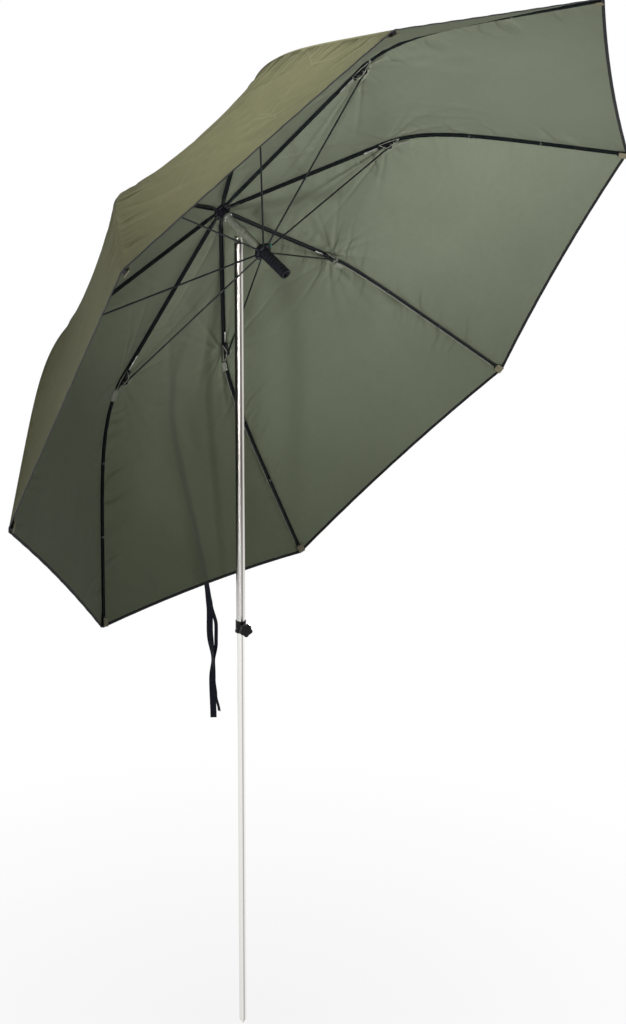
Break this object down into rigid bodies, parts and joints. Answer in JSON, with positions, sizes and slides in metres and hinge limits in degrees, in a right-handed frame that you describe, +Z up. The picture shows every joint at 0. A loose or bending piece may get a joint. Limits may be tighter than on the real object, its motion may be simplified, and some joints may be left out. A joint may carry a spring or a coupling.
{
  "type": "fishing umbrella",
  "caption": "Fishing umbrella with a cloth canopy on folding ribs, a tilting head and a telescopic pole with a clamp collar and ground spike.",
  "frame": {"origin": "the point of the ground spike, on the pole's axis", "axes": "+Z up along the pole; X in the plane in which the head tilts, with the canopy's raised edge towards +X; Y along the tilt pin"},
  "size_m": [1.1799, 2.056, 3.1888],
  "materials": {
    "anodised_aluminium": "satin",
    "zinc_steel": "bright",
    "shaft_metal": "satin",
    "black_plastic": "satin",
    "black_rubber": "matte",
    "black_rib_steel": "semi-gloss",
    "olive_cloth": "coated woven cloth",
    "dark_webbing": "matte webbing"
  },
  "bodies": {
    "lower_pole": {"ground_spike": "anodised_aluminium", "lower_pole": "anodised_aluminium", "guide_bush": "black_plastic"},
    "upper_pole": {"upper_pole": "anodised_aluminium", "pole_collar": "black_plastic", "pole_top_fitting": "anodised_aluminium"},
    "clamp_knob": {"clamp_knob": "black_plastic", "clamp_screw": "zinc_steel"},
    "head": {"tilt_bracket": "shaft_metal", "tilt_pin": "zinc_steel", "crown_hub": "black_plastic", "crown_cap": "black_plastic", "crown_wire": "zinc_steel", "centre_shaft": "shaft_metal"},
    "runner": {"runner": "black_plastic", "runner_grip": "black_rubber"},
    "rib_1": {"rib_1": "black_rib_steel", "rib_tip_1": "black_plastic", "rib_bracket_1": "black_plastic", "canopy_gore_1": "olive_cloth"},
    "stretcher_1": {"stretcher_1": "black_rib_steel"},
    "rib_2": {"rib_2": "black_rib_steel", "rib_tip_2": "black_plastic", "rib_bracket_2": "black_plastic", "canopy_gore_2": "olive_cloth"},
    "stretcher_2": {"stretcher_2": "black_rib_steel"},
    "rib_3": {"rib_3": "black_rib_steel", "rib_tip_3": "black_plastic", "rib_bracket_3": "black_plastic", "canopy_gore_3": "olive_cloth"},
    "stretcher_3": {"stretcher_3": "black_rib_steel"},
    "rib_4": {"rib_4": "black_rib_steel", "rib_tip_4": "black_plastic", "rib_bracket_4": "black_plastic", "canopy_gore_4": "olive_cloth", "tie_strap": "dark_webbing", "tie_tape": "dark_webbing"},
    "stretcher_4": {"stretcher_4": "black_rib_steel"},
    "rib_5": {"rib_5": "black_rib_steel", "rib_tip_5": "black_plastic", "rib_bracket_5": "black_plastic", "canopy_gore_5": "olive_cloth"},
    "stretcher_5": {"stretcher_5": "black_rib_steel"},
    "rib_6": {"rib_6": "black_rib_steel", "rib_tip_6": "black_plastic", "rib_bracket_6": "black_plastic", "canopy_gore_6": "olive_cloth"},
    "stretcher_6": {"stretcher_6": "black_rib_steel"},
    "rib_7": {"rib_7": "black_rib_steel", "rib_tip_7": "black_plastic", "rib_bracket_7": "black_plastic", "canopy_gore_7": "olive_cloth"},
    "stretcher_7": {"stretcher_7": "black_rib_steel"},
    "rib_8": {"rib_8": "black_rib_steel", "rib_tip_8": "black_plastic", "rib_bracket_8": "black_plastic", "canopy_gore_8": "olive_cloth"},
    "stretcher_8": {"stretcher_8": "black_rib_steel"}
  },
  "joints": [
    {"name": "pole_slide", "type": "slide", "parent": "lower_pole", "child": "upper_pole", "axis": [0, 0, 1], "range_m": [-0.9, 0]},
    {"name": "clamp_turn", "type": "hinge", "parent": "upper_pole", "child": "clamp_knob", "pos_m": [0, 0, 1.3335], "axis": [0.9063, -0.4226, 0], "range_deg": [0, 540]},
    {"name": "head_tilt", "type": "hinge", "parent": "upper_pole", "child": "head", "pos_m": [0, 0, 2.4956], "axis": [0, 1, 0], "range_deg": [-4, 31]},
    {"name": "rib_1_fold", "type": "hinge", "parent": "head", "child": "rib_1", "pos_m": [-0.05387, 0.0088, 2.57966], "axis": [-0.1937, 0.9239, -0.3301], "range_deg": [0, 63], "deforming": ["canopy_gore_1"]},
    {"name": "rib_2_fold", "type": "hinge", "parent": "head", "child": "rib_2", "pos_m": [-0.06017, 0.02125, 2.56893], "axis": [-0.4675, 0.3827, -0.7969], "range_deg": [0, 63], "deforming": ["canopy_gore_2"]},
    {"name": "rib_3_fold", "type": "hinge", "parent": "head", "child": "rib_3", "pos_m": [-0.06907, 0.02125, 2.55375], "axis": [-0.4675, -0.3827, -0.7969], "range_deg": [0, 63], "deforming": ["canopy_gore_3"]},
    {"name": "rib_4_fold", "type": "hinge", "parent": "head", "child": "rib_4", "pos_m": [-0.07537, 0.0088, 2.54301], "axis": [-0.1937, -0.9239, -0.3301], "range_deg": [0, 63], "deforming": ["canopy_gore_4", "tie_strap", "tie_tape"]},
    {"name": "rib_5_fold", "type": "hinge", "parent": "head", "child": "rib_5", "pos_m": [-0.07537, -0.0088, 2.54301], "axis": [0.1937, -0.9239, 0.3301], "range_deg": [0, 63], "deforming": ["canopy_gore_5"]},
    {"name": "rib_6_fold", "type": "hinge", "parent": "head", "child": "rib_6", "pos_m": [-0.06907, -0.02125, 2.55375], "axis": [0.4675, -0.3827, 0.7969], "range_deg": [0, 63], "deforming": ["canopy_gore_6"]},
    {"name": "rib_7_fold", "type": "hinge", "parent": "head", "child": "rib_7", "pos_m": [-0.06017, -0.02125, 2.56893], "axis": [0.4675, 0.3827, 0.7969], "range_deg": [0, 63], "deforming": ["canopy_gore_7"]},
    {"name": "rib_8_fold", "type": "hinge", "parent": "head", "child": "rib_8", "pos_m": [-0.05387, -0.0088, 2.57966], "axis": [0.1937, 0.9239, 0.3301], "range_deg": [0, 63], "deforming": ["canopy_gore_8"]},
    {"name": "stretcher_1_fold", "type": "hinge", "parent": "rib_1", "child": "stretcher_1", "pos_m": [0.27249, 0.21241, 2.95809], "axis": [-0.1937, 0.9239, -0.3301], "range_deg": [-126.2, 0]},
    {"name": "stretcher_2_fold", "type": "hinge", "parent": "rib_2", "child": "stretcher_2", "pos_m": [0.12048, 0.51279, 2.699], "axis": [-0.4675, 0.3827, -0.7969], "range_deg": [-126.2, 0]},
    {"name": "stretcher_3_fold", "type": "hinge", "parent": "rib_3", "child": "stretcher_3", "pos_m": [-0.09449, 0.51279, 2.3326], "axis": [-0.4675, -0.3827, -0.7969], "range_deg": [-126.2, 0]},
    {"name": "stretcher_4_fold", "type": "hinge", "parent": "rib_4", "child": "stretcher_4", "pos_m": [-0.24649, 0.21241, 2.07351], "axis": [-0.1937, -0.9239, -0.3301], "range_deg": [-126.2, 0]},
    {"name": "stretcher_5_fold", "type": "hinge", "parent": "rib_5", "child": "stretcher_5", "pos_m": [-0.24649, -0.21241, 2.07351], "axis": [0.1937, -0.9239, 0.3301], "range_deg": [-126.2, 0]},
    {"name": "stretcher_6_fold", "type": "hinge", "parent": "rib_6", "child": "stretcher_6", "pos_m": [-0.09449, -0.51279, 2.3326], "axis": [0.4675, -0.3827, 0.7969], "range_deg": [-126.2, 0]},
    {"name": "stretcher_7_fold", "type": "hinge", "parent": "rib_7", "child": "stretcher_7", "pos_m": [0.12048, -0.51279, 2.699], "axis": [0.4675, 0.3827, 0.7969], "range_deg": [-126.2, 0]},
    {"name": "stretcher_8_fold", "type": "hinge", "parent": "rib_8", "child": "stretcher_8", "pos_m": [0.27249, -0.21241, 2.95809], "axis": [0.1937, 0.9239, 0.3301], "range_deg": [-126.2, 0]},
    {"name": "runner_slide", "type": "slide", "parent": "head", "child": "runner", "axis": [0.8625, 0, -0.506], "range_m": [0, 0.85034]}
  ],
  "couplings": [
    {"joint": "rib_2_fold", "follows": "rib_1_fold", "ratio": 1},
    {"joint": "rib_3_fold", "follows": "rib_1_fold", "ratio": 1},
    {"joint": "rib_4_fold", "follows": "rib_1_fold", "ratio": 1},
    {"joint": "rib_5_fold", "follows": "rib_1_fold", "ratio": 1},
    {"joint": "rib_6_fold", "follows": "rib_1_fold", "ratio": 1},
    {"joint": "rib_7_fold", "follows": "rib_1_fold", "ratio": 1},
    {"joint": "rib_8_fold", "follows": "rib_1_fold", "ratio": 1},
    {"joint": "stretcher_1_fold", "follows": "rib_1_fold", "ratio": -2},
    {"joint": "stretcher_2_fold", "follows": "rib_1_fold", "ratio": -2},
    {"joint": "stretcher_3_fold", "follows": "rib_1_fold", "ratio": -2},
    {"joint": "stretcher_4_fold", "follows": "rib_1_fold", "ratio": -2},
    {"joint": "stretcher_5_fold", "follows": "rib_1_fold", "ratio": -2},
    {"joint": "stretcher_6_fold", "follows": "rib_1_fold", "ratio": -2},
    {"joint": "stretcher_7_fold", "follows": "rib_1_fold", "ratio": -2},
    {"joint": "stretcher_8_fold", "follows": "rib_1_fold", "ratio": -2},
    {"joint": "runner_slide", "follows": "rib_1_fold", "m_per_rad": 0.77289}
  ]
}
